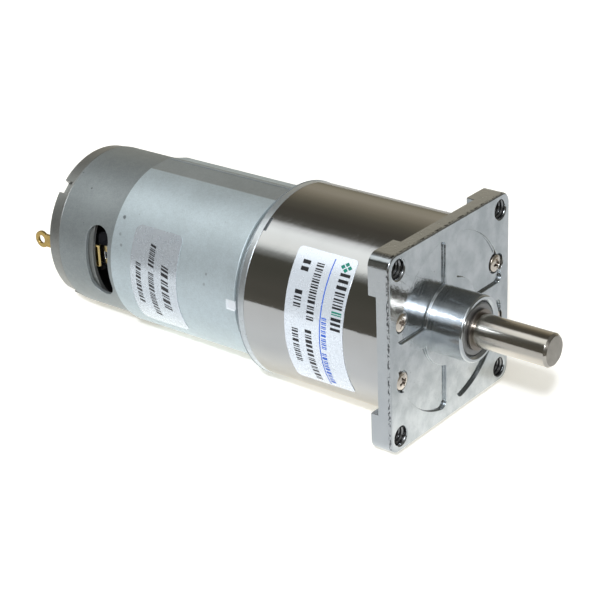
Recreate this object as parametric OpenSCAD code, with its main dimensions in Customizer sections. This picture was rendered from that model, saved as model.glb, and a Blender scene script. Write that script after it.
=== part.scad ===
// Brushed DC gear motor: square flange, centred spur gearbox, 36 mm class motor.
// +X runs along the output shaft, out of the front; +Z is up. The origin is on
// the shaft axis, in the flange's front face. Millimetres.

/* [Output shaft] */
// Diameter of the output shaft
shaft_d = 7; // [6:0.1:7]
// Length of shaft standing out of the flange's front face
shaft_out = 23.5; // [20:0.5:32]
// Depth of the D flat below the round
flat_depth = 0.6; // [0.3:0.1:1]
// Length of the D flat from the shaft's end
flat_len = 12; // [8:0.5:13]

/* [Front flange] */
// Side of the square flange
flange_w = 42; // [41.8:0.2:44]
// Thickness of the flange plate between its corners
flange_t = 3; // [2.6:0.1:3.4]
// Thickness of the flange at its four corner posts
post_depth = 4.8; // [4:0.2:6]
// Rounding of the flange's upright corners
corner_r = 2.6; // [1.6:0.2:3]
// Spacing of the four tapped fixing holes
hole_pitch = 35.5; // [35:0.1:36]
// Diameter of the tapped fixing holes
hole_d = 3.3; // [2.5:0.1:4]
// Diameter of the boss round the shaft
boss_d = 13.8; // [13.4:0.2:15]
// Height of the boss above the flange face
boss_len = 6.7; // [6:0.1:8]
// Depth of the four shallow pads in the face
relief_depth = 0.6; // [0.3:0.1:1]

/* [Gearbox] */
// Outer diameter of the gearbox tube
gear_d = 41.6; // [41.4:0.1:41.8]
// Distance from the flange face to the back of the gearbox
gear_len = 38.4; // [38.4:0.2:44]
// Wall of the gearbox tube
tube_wall = 0.9; // [0.6:0.1:0.9]

/* [Motor] */
// Outer diameter of the motor can
can_d = 35.8; // [35.8:0.1:36.4]
// Length of the motor from its front face to its back rim
can_len = 56.3; // [56.3:0.5:62]
// Thickness of the flux ring round the can
ring_t = 0.72; // [0.5:0.02:1]
// Length of the flux ring
ring_len = 34.7; // [28:0.5:36]
// Width of the brush slots in the can
slot_w = 6.3; // [5:0.1:6.4]
// Height of the brush slots in the can
slot_h = 16.2; // [12:0.2:17]

/* [Hidden] */
$fn = 64;

tube_r = gear_d/2;
tube_ri = tube_r - tube_wall;
xr = -gear_len;              // back of the gearbox, front of the motor
rear_t = 2;                  // rim of the rear plate
xt = xr + rear_t;            // back edge of the tube
xi = xt + 0.4;               // inner face of the rear plate
spig_r = tube_ri - 0.05;     // registers that centre the tube
xs = -7.5;                   // back face of the flange's register
xh = -10;                    // back face of the flange's hub
scr_y = 16.64; scr_z = 6.28; // gearbox screws and posts
cr = can_d/2;
can_t = 0.9;
cri = cr - can_t;
xc = xr - can_len;           // back rim of the motor
cap_rim = 3.2;               // rim of the rear cap
xj = xc + cap_rim;           // joint between can and cap

// gear train: five meshes on one centre distance
cd = 10.5;
m1 = 0.5; zp1 = 11; zw1 = 31; sh1 = 0.4;
m2 = 0.6; zp2 = 10; zw2 = 25; sh2 = 0.41;
p1 = [cd*cos(240), cd*sin(240)];
p2 = [cd*cos(300), cd*sin(300)];
pin_r = 1.25;
bore_r = 1.29;
gx0 = xi + 0.4;              // back of the first wheel
// wheel faces, back and front
w1 = [gx0, gx0 + 3.2];
w2 = [w1[1] + 0.5, w1[1] + 4.3];
w3 = [w2[1] + 0.5, w2[1] + 4.9];
w4 = [w3[1] + 0.5, w3[1] + 5.3];
w5 = [w4[1] + 0.6, xh - 0.8];

// children in the Y-Z plane, extruded along X
module along(x0, x1) translate([x0, 0, 0]) rotate([90, 0, 90]) linear_extrude(x1 - x0) children();
module rod(x0, x1, r, y = 0, z = 0, f = 64)
    translate([x0, y, z]) rotate([0, 90, 0]) cylinder(h = x1 - x0, r = r, $fn = f);
module taper(x0, x1, ra, rb, y = 0, z = 0, f = 64)
    translate([x0, y, z]) rotate([0, 90, 0]) cylinder(h = x1 - x0, r1 = ra, r2 = rb, $fn = f);
// block spanning [x], [y], [z]
module blk(x, y, z) translate([x[0], y[0], z[0]]) cube([x[1]-x[0], y[1]-y[0], z[1]-z[0]]);
module sector(r0, r1, a0, a1, f = 128)
    // shell sector about X, angles from +Y towards +Z
    rotate([0, 0, a0]) rotate_extrude(angle = a1 - a0, $fn = f) translate([r0, 0]) square([r1 - r0, 1]);
module shell(x0, x1, r0, r1, a0, a1, f = 128)
    translate([x0, 0, 0]) rotate([90, 0, 90]) rotate([0, 0, a0])
        rotate_extrude(angle = a1 - a0, $fn = f) translate([r0, 0]) square([r1 - r0, x1 - x0]);

// ---- involute gears -------------------------------------------------------
function inv(a) = tan(a) - a*PI/180;
function g_half(m, z, x, back, r) =
    let (rp = m*z/2, rb = rp*cos(20), s = m*(PI/2 + 2*x*tan(20)) - back)
    (s/(2*rp) + inv(20) - (r > rb ? inv(acos(rb/r)) : 0))*180/PI;
function g_pts(m, z, x, back) =
    let (rp = m*z/2, rb = rp*cos(20), ra = rp + m*(1 + x), rf = rp - m*(1.25 - x),
         r0 = max(rb, rf + 0.01), h0 = g_half(m, z, x, back, r0), n = 3)
    [for (k = [0:z-1]) each concat(
        [[rf, k*360/z - h0]],
        [for (i = [0:n]) let (r = r0 + (ra - r0)*i/n) [r, k*360/z - g_half(m, z, x, back, r)]],
        [for (i = [n:-1:0]) let (r = r0 + (ra - r0)*i/n) [r, k*360/z + g_half(m, z, x, back, r)]],
        [[rf, k*360/z + h0]])];
module gear2d(m, z, x, rot) polygon([for (p = g_pts(m, z, x, 0.05)) p[0]*[cos(p[1] + rot), sin(p[1] + rot)]]);
module gear(x0, x1, m, z, x, rot) along(x0, x1) gear2d(m, z, x, rot);

// ---- gearbox --------------------------------------------------------------
module rsquare(w, r) {
    difference() {
        translate([-w/2, -w/2]) square(w);
        for (a = [-1, 1], b = [-1, 1])
            difference() {
                translate([a*(w/2 - r/2 + 0.5) - r/2 - 0.5, b*(w/2 - r/2 + 0.5) - r/2 - 0.5]) square(r + 1);
                translate([a*(w/2 - r), b*(w/2 - r)]) circle(r, $fn = 48);
                translate([a*(w/2 - r) - (a > 0 ? 2*r : 0), b*(w/2 - r) - r - 1]) square([2*r, 2*r + 2]);
                translate([a*(w/2 - r) - r - 1, b*(w/2 - r) - (b > 0 ? 2*r : 0)]) square([2*r + 2, 2*r]);
            }
    }
}

module pad2d(a, b) {
    // quarter pad between the cross bars, with its corners rounded
    ri = 9.1; ro = 18.5; g = 2;
    scale([a, b])
    difference() {
        intersection() {
            difference() { circle(ro, $fn = 96); circle(ri, $fn = 96); }
            translate([g, g]) square(30);
        }
        // ease the two outer corners
        for (s = [0, 1]) mirror([s, -s]) difference() {
            translate([sqrt(ro*ro - g*g) - 1.3, g - 0.5]) square([2, 1.9]);
            translate([sqrt((ro - 1.4)*(ro - 1.4) - (g + 1.4)*(g + 1.4)), g + 1.4]) circle(1.4, $fn = 32);
            translate([ro - 4, g - 1]) square([2.4, 0.9]);
        }
    }
}

module front_flange() color([0.75, 0.77, 0.79]) {
    h = hole_pitch/2;
    difference() {
        union() {
            along(-flange_t, 0) rsquare(flange_w, corner_r);
            // corner posts, cleared round the tube
            difference() {
                intersection() {
                    along(-post_depth, -flange_t + 0.01) rsquare(flange_w, corner_r);
                    for (a = [-1, 1], b = [-1, 1])
                        translate([-post_depth - 1, a*(flange_w/2 - 3.6), b*(flange_w/2 - 3.6)])
                            rotate([90, 0, 90]) linear_extrude(post_depth) rsquare(9.6, 1.6);
                }
                rod(-post_depth - 1, -flange_t + 0.5, tube_r + 0.2, f = 128);
            }
            rod(-0.01, boss_len - 0.3, boss_d/2, f = 96);
            taper(boss_len - 0.3, boss_len, boss_d/2, boss_d/2 - 0.25, f = 96);
            rod(xs, -flange_t + 0.01, spig_r, f = 128);
            rod(xh, xs + 0.01, 8);
        }
        // shallow pads
        for (a = [-1, 1], b = [-1, 1]) along(-relief_depth, 1) pad2d(a, b);
        // tapped corner holes with a lead-in
        for (a = [-1, 1], b = [-1, 1]) {
            rod(-post_depth - 1, 1, hole_d/2, a*h, b*h, 48);
            taper(-0.46, 0.01, hole_d/2, 2.31, a*h, b*h, 48);
            taper(-post_depth - 0.01, -post_depth + 0.35, 2, hole_d/2, a*h, b*h, 48);
        }
        // screw seats
        for (a = [-1, 1], b = [-1, 1]) {
            rod(-1.1, 1, 2.2, a*scr_y, b*scr_z, 48);
            rod(xs - 1, -1, 1.4, a*scr_y, b*scr_z, 48);
        }
        // bush seats and shaft way
        rod(-1, boss_len + 1, 5.6);
        taper(boss_len - 0.6, boss_len + 0.01, 5.6, 6.15);
        rod(-5, 0, 4.1);
        rod(xh - 1, -4, 5.6);
        // pin sockets
        for (p = [p1, p2]) rod(xs - 1, -4.9, 1.3, p[0], p[1], 48);
    }
}

module front_bush() color([0.45, 0.43, 0.4]) difference() {
    union() {
        rod(-0.95, boss_len - 0.75, 5.55);
        taper(boss_len - 0.75, boss_len - 0.35, 5.55, 5.2);
    }
    rod(-2, boss_len + 1, shaft_d/2 + 0.04);
}

module inner_bush() color([0.55, 0.45, 0.3]) difference() {
    rod(xh + 0.05, -4.05, 5.55);
    rod(xh - 1, -3, shaft_d/2 + 0.04);
}

module phillips(x, r) {
    // cross recess cut into a head whose face is at x
    for (a = [0, 90]) translate([x, 0, 0]) rotate([a + 25, 0, 0])
        translate([-0.62, -r, -0.17*r]) cube([2, 2*r, 0.34*r]);
}

module flange_screws() color([0.72, 0.68, 0.62])
    for (a = [-1, 1], b = [-1, 1]) translate([0, a*scr_y, b*scr_z]) difference() {
        union() {
            rod(-1.05, -0.35, 1.95, f = 48);
            taper(-0.35, -0.1, 1.95, 1.65, f = 48);
            rod(-13, -1, 1.2, f = 32);
        }
        phillips(-0.1, 1.15);
    }

module gearbox_tube() color([0.5, 0.47, 0.43]) difference() {
    rod(xt + 0.02, -flange_t - 0.02, tube_r, f = 180);
    rod(xt - 1, 0, tube_ri, f = 180);
    // keying notch in the back edge
    shell(xt - 1, xt + 0.75, tube_ri - 0.5, tube_r + 0.5, 121, 130);
}

module gearbox_rear_plate() color([0.66, 0.68, 0.7]) difference() {
    union() {
        taper(xr, xr + 0.5, tube_r - 0.5, tube_r, f = 180);
        rod(xr + 0.49, xt, tube_r, f = 180);
        rod(xt - 0.01, xi, spig_r, f = 128);
    }
    rod(xr - 1, xi + 1, 6.55);
    for (a = [-1, 1]) {
        rod(xr - 1, xi + 1, 1.6, a*12.5, 0, 32);
        taper(xi - 1.5, xi + 0.01, 1.6, 3.1, a*12.5, 0, 48);
    }
    for (a = [-1, 1], b = [-1, 1]) {
        rod(xr - 1, xi + 1, 1.4, a*scr_y, b*scr_z, 32);
        taper(xr - 0.01, xr + 1.1, 2.3, 1.4, a*scr_y, b*scr_z, 48);
    }
    for (p = [p1, p2]) rod(xr + 0.3, xi + 1, 1.3, p[0], p[1], 48);
}

module gearbox_posts() color([0.75, 0.75, 0.76])
    for (a = [-1, 1], b = [-1, 1]) difference() {
        rod(xi + 0.02, xs - 0.02, 2, a*scr_y, b*scr_z, 32);
        rod(xi - 1, xi + 7.5, 1.25, a*scr_y, b*scr_z, 32);
        rod(-13.5, xs + 1, 1.25, a*scr_y, b*scr_z, 32);
    }

module rear_plate_screws() color([0.72, 0.68, 0.62])
    for (a = [-1, 1], b = [-1, 1]) translate([0, a*scr_y, b*scr_z]) difference() {
        union() {
            taper(xr + 0.05, xr + 1.1, 2.15, 1.2, f = 48);
            rod(xr + 1.09, xi + 7, 1.2, f = 32);
        }
        mirror([1, 0, 0]) phillips(-xr - 0.05, 1.1);
    }

module gear_pins() color([0.8, 0.8, 0.82])
    for (p = [p1, p2]) {
        taper(xr + 0.35, xr + 0.6, 1, pin_r, p[0], p[1], 48);
        rod(xr + 0.59, -5.25, pin_r, p[0], p[1], 48);
        taper(-5.26, -5, pin_r, 1, p[0], p[1], 48);
    }

module spacer(x0, x1, p, r) difference() {
    rod(x0, x1, r, p[0], p[1], 32);
    rod(x0 - 1, x1 + 1, bore_r, p[0], p[1], 32);
}
module pin_washer_a() color([0.7, 0.7, 0.6]) spacer(xi + 0.02, gx0 - 0.1, p1, 2.4);
module pin_collar_b() color([0.7, 0.7, 0.6]) spacer(xi + 0.02, w2[0] - 0.15, p2, 2.2);
module pin_spacer_a() color([0.7, 0.7, 0.6]) spacer(w5[0] + 0.2, xs - 0.05, p1, 2.2);
module pin_spacer_b() color([0.7, 0.7, 0.6]) spacer(w5[1] + 0.35, xs - 0.05, p2, 2.4);

module output_shaft() color([0.72, 0.72, 0.73]) difference() {
    union() {
        taper(w5[0], w5[0] + 0.4, shaft_d/2 - 0.4, shaft_d/2);
        rod(w5[0] + 0.39, shaft_out - flat_len + 0.3, shaft_d/2);
        // the end is ground a little smaller
        rod(shaft_out - flat_len - 0.5, shaft_out - 0.6, shaft_d/2 - 0.03);
        taper(shaft_out - 0.61, shaft_out, shaft_d/2 - 0.03, shaft_d/2 - 0.5);
    }
    // D flat
    rotate([-159, 0, 0]) blk([shaft_out - flat_len, shaft_out + 1], [-6, 6], [shaft_d/2 - flat_depth, 6]);
    // groove for the retaining clip
    difference() {
        rod(boss_len - 0.32, boss_len + 0.34, shaft_d/2 + 1);
        rod(boss_len - 1, boss_len + 1, shaft_d/2 - 0.25);
    }
}

module shaft_clip() color([0.5, 0.46, 0.42])
    shell(boss_len - 0.3, boss_len + 0.3, shaft_d/2 - 0.23, shaft_d/2 + 0.75, -58, 270, 96);

module output_gear() color([0.66, 0.66, 0.68]) difference() {
    gear(w5[0] + 0.02, w5[1], m2, zw2, -sh2, 120 + 180 + 180/zw2);
    rod(w5[0] - 1, w5[1] + 1, shaft_d/2 + 0.02);
}

module thrust_washer() color([0.8, 0.8, 0.8]) difference() {
    rod(w5[1] + 0.15, xh - 0.1, 5.4);
    rod(w5[1] - 1, xh + 1, shaft_d/2 + 0.1);
}

// wheel and pinion of one stage on one pin; each meets the next at angle fo,
// and is driven from angle fi
module stage(p, w, xe, fi, fo, mp, zp, sp) difference() {
    union() {
        translate([0, p[0], p[1]]) gear(w[0], w[1], m1, zw1, -sh1, fi + 180/zw1);
        translate([0, p[0], p[1]]) gear(w[1] - 0.01, xe, mp, zp, sp, fo);
    }
    rod(w[0] - 1, xe + 1, bore_r, p[0], p[1], 48);
}
module gear_stage_1() color([0.78, 0.66, 0.4]) stage(p1, w1, w3[0] - 0.25, 60, 0, m1, zp1, sh1);
module gear_stage_2() color([0.66, 0.66, 0.68]) stage(p2, w2, w4[0] - 0.25, 180, 180, m1, zp1, sh1);
module gear_stage_3() color([0.66, 0.66, 0.68]) stage(p1, w3, w4[1] + 0.15, 0, 0, m1, zp1, sh1);
module gear_stage_4() color([0.66, 0.66, 0.68]) stage(p2, w4, w5[1] + 0.2, 180, 120, m2, zp2, sh2);

module motor_screws() color([0.72, 0.68, 0.62])
    for (a = [-1, 1]) translate([0, a*12.5, 0]) difference() {
        union() {
            taper(xi - 1.5, xi - 0.1, 1.45, 2.95, f = 48);
            rod(xr - 2.6, xi - 1.49, 1.45, f = 32);
        }
        phillips(xi - 0.1, 1.5);
    }

// ---- motor ----------------------------------------------------------------
module stadium2d(w, h) {
    // upright slot, w along the first axis and h along the second
    translate([-w/2, -h/2 + w/2]) square([w, h - w]);
    for (s = [-1, 1]) translate([0, s*(h/2 - w/2)]) circle(w/2, $fn = 48);
}
slot_x = xc + 14.5;
module motor_can() color([0.62, 0.65, 0.66]) difference() {
    union() {
        rod(xj + 0.02, xr - 0.05, cr, f = 180);
        rod(xr - 0.06, xr + 1.9, 6.5);
    }
    rod(xj - 1, xr - 1.25, cri, f = 180);
    rod(xr - 4, xr + 3, 4.55);
    // brush slots, one each side
    for (s = [-1, 1]) translate([slot_x, s*14, -0.2]) rotate([90, 0, 0])
        translate([0, 0, -5]) linear_extrude(10) stadium2d(slot_w, slot_h);
    for (a = [-1, 1]) rod(xr - 3, xr + 1, 1.5, a*12.5, 0, 32);
}

ring_x1 = xr - 2.2;
ring_x0 = ring_x1 - ring_len;
module flux_ring() color([0.7, 0.73, 0.75]) difference() {
    union() {
        rod(ring_x0, ring_x1 - 0.5, cr + ring_t, f = 180);
        taper(ring_x1 - 0.51, ring_x1, cr + ring_t, cr + ring_t - 0.4, f = 180);
    }
    rod(ring_x0 - 1, ring_x1 + 1, cr + 0.03, f = 180);
    // the ring's ends meet at a narrow gap
    rotate([84 - 90, 0, 0]) blk([ring_x0 - 1, ring_x1 + 1], [-0.2, 0.2], [10, 25]);
    // locating notch
    blk([ring_x1 - 2.2, ring_x1 + 1], [-25, -10], [-1.05, 1.05]);
}

module rear_cap() color([0.5, 0.5, 0.48]) difference() {
    union() {
        taper(xc, xj - 0.02, cr - 0.35, cr, f = 180);
        rod(xj - 0.03, slot_x - 2, cri - 0.06, f = 180);
        rod(xc - 1.6, xc + 1.2, 5.4);
    }
    difference() {
        rod(xc + 2.1, slot_x, cri - 0.9, f = 128);
        rod(xc, xc + 5.5, 5.4);
    }
    difference() {
        rod(xc - 0.5, xc + 1.1, cri - 0.9, f = 128);
        rod(xc - 1, xc + 2, 5.4);
    }
    rod(xc - 2, slot_x, 1.9, f = 48);
    rod(xc - 0.4, slot_x, 4.05);
    // windows for the terminals
    for (s = [-1, 1]) blk([xc, xc + 3], [s*15.3 - 0.65, s*15.3 + 0.65], [-2.8, 2.8]);
    // crimping notches in the rim
    for (k = [0:3]) shell(xc - 1, xc + 2.4, cri - 0.85, cr + 1, 129 + 90*k, 138.5 + 90*k);
}

module brush_card() color([0.12, 0.12, 0.12]) difference() {
    union() {
        rod(xc + 2.15, xc + 4.4, cri - 1, f = 128);
        // blocks that carry the brush holders
        for (s = [-1, 1]) blk([xc + 4.3, slot_x - 2.8], [s > 0 ? 6.2 : -13.6, s > 0 ? 13.6 : -6.2], [-4.2, 4.2]);
        // collars in the terminal windows
        for (s = [-1, 1]) blk([xc + 0.9, xc + 2.2], [s*15.3 - 0.6, s*15.3 + 0.6], [-2.7, 2.7]);
    }
    rod(xc, slot_x, 5.5);
    for (s = [-1, 1]) blk([xc, xc + 6], [s*15.3 - 0.35, s*15.3 + 0.35], [-2.45, 2.45]);
}

module terminals() color([0.8, 0.62, 0.3]) for (s = [-1, 1]) difference() {
    union() {
        // strip through the card, widened inside
        blk([xc + 0.5, slot_x - 1.6], [s*15.3 - 0.3, s*15.3 + 0.3], [-2.4, 2.4]);
        blk([xc - 4.4, xc + 0.6], [s*15.3 - 0.3, s*15.3 + 0.3], [-1.5, 1.5]);
        translate([xc - 4.7, s*15.3 + 0.3, 0]) rotate([90, 0, 0]) linear_extrude(0.6) circle(1.95, $fn = 48);
    }
    translate([xc - 4.8, s*15.3 + 1, 0]) rotate([90, 0, 0]) linear_extrude(2) circle(0.95, $fn = 32);
    // relieved behind the card so the strip can be staked
    blk([xc + 5, slot_x - 3], [s*15.3 - 1, s*15.3 + 1], [1.6, 3]);
}

bx = slot_x - 2.2;           // brush axis plane
module brush_holders() color([0.82, 0.66, 0.35]) for (s = [-1, 1]) difference() {
    blk([bx - 0.45, bx + 4.2], [s > 0 ? 6 : -14.2, s > 0 ? 14.2 : -6], [-2.4, 2.4]);
    blk([bx + 0.05, bx + 3.7], [s > 0 ? 5 : -13.7, s > 0 ? 13.7 : -5], [-1.9, 1.9]);
    // way in for the spring's tail
    blk([bx + 1.2, bx + 2.6], [s > 0 ? 13 : -15, s > 0 ? 15 : -13], [-0.8, 0.8]);
}
module brushes() color([0.2, 0.2, 0.21]) for (s = [-1, 1]) difference() {
    blk([bx + 0.1, bx + 3.6], [s > 0 ? 3 : -10.4, s > 0 ? 10.4 : -3], [-1.85, 1.85]);
    rod(bx - 1, bx + 5, 3.88);
}
module brush_springs() color([0.75, 0.75, 0.72]) for (s = [-1, 1])
    translate([bx + 1.875, s > 0 ? 10.8 : -13.2, 0]) rotate([-90, 0, 0]) {
        for (k = [0:3]) translate([0, 0, 0.8*k])
            rotate_extrude($fn = 32) translate([1.2, 0]) circle(0.26, $fn = 16);
        translate([1.2, 0, 0]) cylinder(h = 2.4, r = 0.2, $fn = 16);
    }

mag_x = [ring_x0 + 2.5, xr - 5];
module magnets() color([0.23, 0.22, 0.22]) for (s = [0, 1])
    shell(mag_x[0], mag_x[1], 12.2, cri - 0.06, 90 + 180*s - 64, 90 + 180*s + 64);

module magnet_clips() color([0.8, 0.8, 0.8]) for (s = [0, 1]) difference() {
    // U spring that spreads the two magnets
    shell(mag_x[0] + 4, mag_x[1], 15, 15.9, 180*s - 24.5, 180*s + 24.5);
    shell(mag_x[0] + 3, mag_x[1] - 0.9, 14, 16.6, 180*s - 21.5, 180*s + 21.5);
}

rs = 1.585;
module motor_front_bush() color([0.6, 0.5, 0.35]) difference() {
    rod(xr - 3.4, xr + 1.7, 4.5);
    rod(xr - 5, xr + 3, rs + 0.03);
}
module motor_rear_bush() color([0.6, 0.5, 0.35]) difference() {
    rod(xc - 0.35, xc + 4.6, 4);
    rod(xc - 2, xc + 6, rs + 0.03);
}

core_x = [xr - 34.5, xr - 8.5];
module rotor_shaft() color([0.82, 0.82, 0.84]) {
    taper(xc - 1.3, xc - 1, rs - 0.25, rs, f = 48);
    rod(xc - 1.01, w1[1], rs, f = 48);
    taper(w1[1] - 0.01, w1[1] + 0.15, rs, rs - 0.15, f = 48);
}

module pole2d() {
    difference() {
        union() {
            intersection() {
                circle(11.6, $fn = 120);
                difference() {
                    union() for (k = [0:4]) rotate(90 + 72*k) polygon([[0, 0], [14, -6.6], [14, 6.6]]);
                    circle(9.9, $fn = 96);
                }
            }
            for (k = [0:4]) rotate(90 + 72*k) translate([0, -1.6]) square([10.5, 3.2]);
            circle(4.2, $fn = 64);
        }
        circle(rs + 0.02, $fn = 48);
    }
}
module armature_core() color([0.4, 0.41, 0.43]) along(core_x[0], core_x[1]) pole2d();

module windings() color([0.72, 0.4, 0.2]) {
    // coil heads at both ends of the core
    for (e = [[core_x[0] - 4.3, core_x[0] - 0.05], [core_x[1] + 0.05, core_x[1] + 3.9]])
        difference() {
            union() {
                rod(e[0] + 0.8, e[1], 9.6, f = 60);
                taper(e[0], e[0] + 0.81, 8.6, 9.6, f = 60);
            }
            rod(e[0] - 1, e[1] + 1, 4.3, f = 48);
            // hollows between neighbouring coils
            for (k = [0:4]) rotate([90 + 72*k + 36, 0, 0]) rod(e[0] - 1, e[1] + 1, 1.5, 10.3, 0, 32);
        }
    // coil sides in the slots
    for (k = [0:4], h = [0, 1]) rotate([72*k + 90, 0, 0])
        along(core_x[0] - 0.06, core_x[1] + 0.06) intersection() {
            mirror([0, h]) polygon([[4.6, 1.75], [9.75, 1.75], [9.3, 3.6], [5.4, 2.3]]);
            circle(9.75, $fn = 60);
        }
}

com_x = [bx - 3.2, core_x[0] - 4.6];
module commutator() color([0.75, 0.45, 0.28]) difference() {
    union() {
        rod(com_x[0], com_x[1], 3.8, f = 60);
        rod(com_x[1] - 0.9, com_x[1], 5.2, f = 60);
    }
    rod(com_x[0] - 1, com_x[1] + 1, rs + 0.02, f = 48);
    for (k = [0:4]) rotate([72*k, 0, 0]) blk([com_x[0] - 1, com_x[1] + 1], [3, 7], [-0.2, 0.2]);
}

module motor_pinion() color([0.82, 0.66, 0.36]) difference() {
    gear(gx0 - 0.25, w1[1] + 0.1, m1, zp1, sh1, 240);
    rod(gx0 - 1, w1[1] + 1, rs + 0.02, f = 48);
}

module rotor_washers() color([0.85, 0.83, 0.75]) {
    for (e = [[xr - 4.35, xr - 3.55], [xc + 4.75, xc + 5.5]]) difference() {
        rod(e[0], e[1], 3, f = 32);
        rod(e[0] - 1, e[1] + 1, rs + 0.02, f = 32);
    }
}

// ---- labels ---------------------------------------------------------------
module gearbox_label() color([0.93, 0.94, 0.96])
    shell(-26.1, -11.1, tube_r + 0.03, tube_r + 0.12, 133, 214, 180);
module can_label() color([0.82, 0.82, 0.84])
    shell(ring_x1 - 29, ring_x1 - 15.9, cr + ring_t + 0.03, cr + ring_t + 0.12, 146, 215.5, 180);

front_flange();
front_bush();
inner_bush();
flange_screws();
gearbox_tube();
gearbox_rear_plate();
gearbox_posts();
rear_plate_screws();
gear_pins();
pin_washer_a();
pin_spacer_a();
pin_spacer_b();
pin_collar_b();
output_shaft();
output_gear();
shaft_clip();
thrust_washer();
gear_stage_1();
gear_stage_2();
gear_stage_3();
gear_stage_4();
motor_screws();
motor_can();
flux_ring();
rear_cap();
brush_card();
terminals();
brush_holders();
brushes();
brush_springs();
magnets();
magnet_clips();
motor_front_bush();
motor_rear_bush();
rotor_shaft();
armature_core();
windings();
commutator();
motor_pinion();
rotor_washers();
gearbox_label();
can_label();
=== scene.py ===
import bpy, bmesh, math, random
from mathutils import Vector, Matrix


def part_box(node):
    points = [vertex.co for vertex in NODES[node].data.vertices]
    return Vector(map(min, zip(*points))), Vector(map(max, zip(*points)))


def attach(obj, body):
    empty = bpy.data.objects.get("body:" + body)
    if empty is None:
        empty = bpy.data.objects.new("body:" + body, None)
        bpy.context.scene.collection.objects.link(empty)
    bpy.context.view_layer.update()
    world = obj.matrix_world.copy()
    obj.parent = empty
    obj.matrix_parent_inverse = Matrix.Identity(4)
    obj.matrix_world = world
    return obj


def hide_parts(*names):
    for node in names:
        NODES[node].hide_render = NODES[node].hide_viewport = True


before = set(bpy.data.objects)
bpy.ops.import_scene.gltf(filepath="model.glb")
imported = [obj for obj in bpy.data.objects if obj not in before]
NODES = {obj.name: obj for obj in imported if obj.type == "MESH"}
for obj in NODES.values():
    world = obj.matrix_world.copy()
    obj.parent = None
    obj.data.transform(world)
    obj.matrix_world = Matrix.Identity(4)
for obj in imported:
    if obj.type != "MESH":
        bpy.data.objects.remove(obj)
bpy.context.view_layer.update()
MM = 0.001
TAU = 2 * math.pi


def box(n):
    lo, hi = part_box(n)
    return [c * 1000 for c in lo], [c * 1000 for c in hi]


# ---------------------------------------------------------------- camera, stage
cam_data = bpy.data.cameras.new("camera")
cam = bpy.data.objects.new("camera", cam_data)
bpy.context.scene.collection.objects.link(cam)
bpy.context.scene.camera = cam
cam_data.sensor_width = 36
cam_data.lens = 107.19
cam_data.shift_x = -0.0016
cam_data.shift_y = -0.0034
cam_data.clip_start = 0.01
cam_data.clip_end = 50
right = Vector((0.7863, 0.6166, -0.038)).normalized()
fwd = Vector((-0.5718, 0.7031, -0.4227)).normalized()
down = fwd.cross(right).normalized()
right = down.cross(fwd).normalized()
m = Matrix((right, -down, -fwd)).transposed().to_4x4()
m.translation = Vector((0.177651, -0.265388, 0.154778))
cam.matrix_world = m

sc = bpy.context.scene
sc.view_settings.view_transform = "Standard"
sc.view_settings.look = "None"
sc.view_settings.exposure = 0
sc.view_settings.gamma = 1


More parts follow.
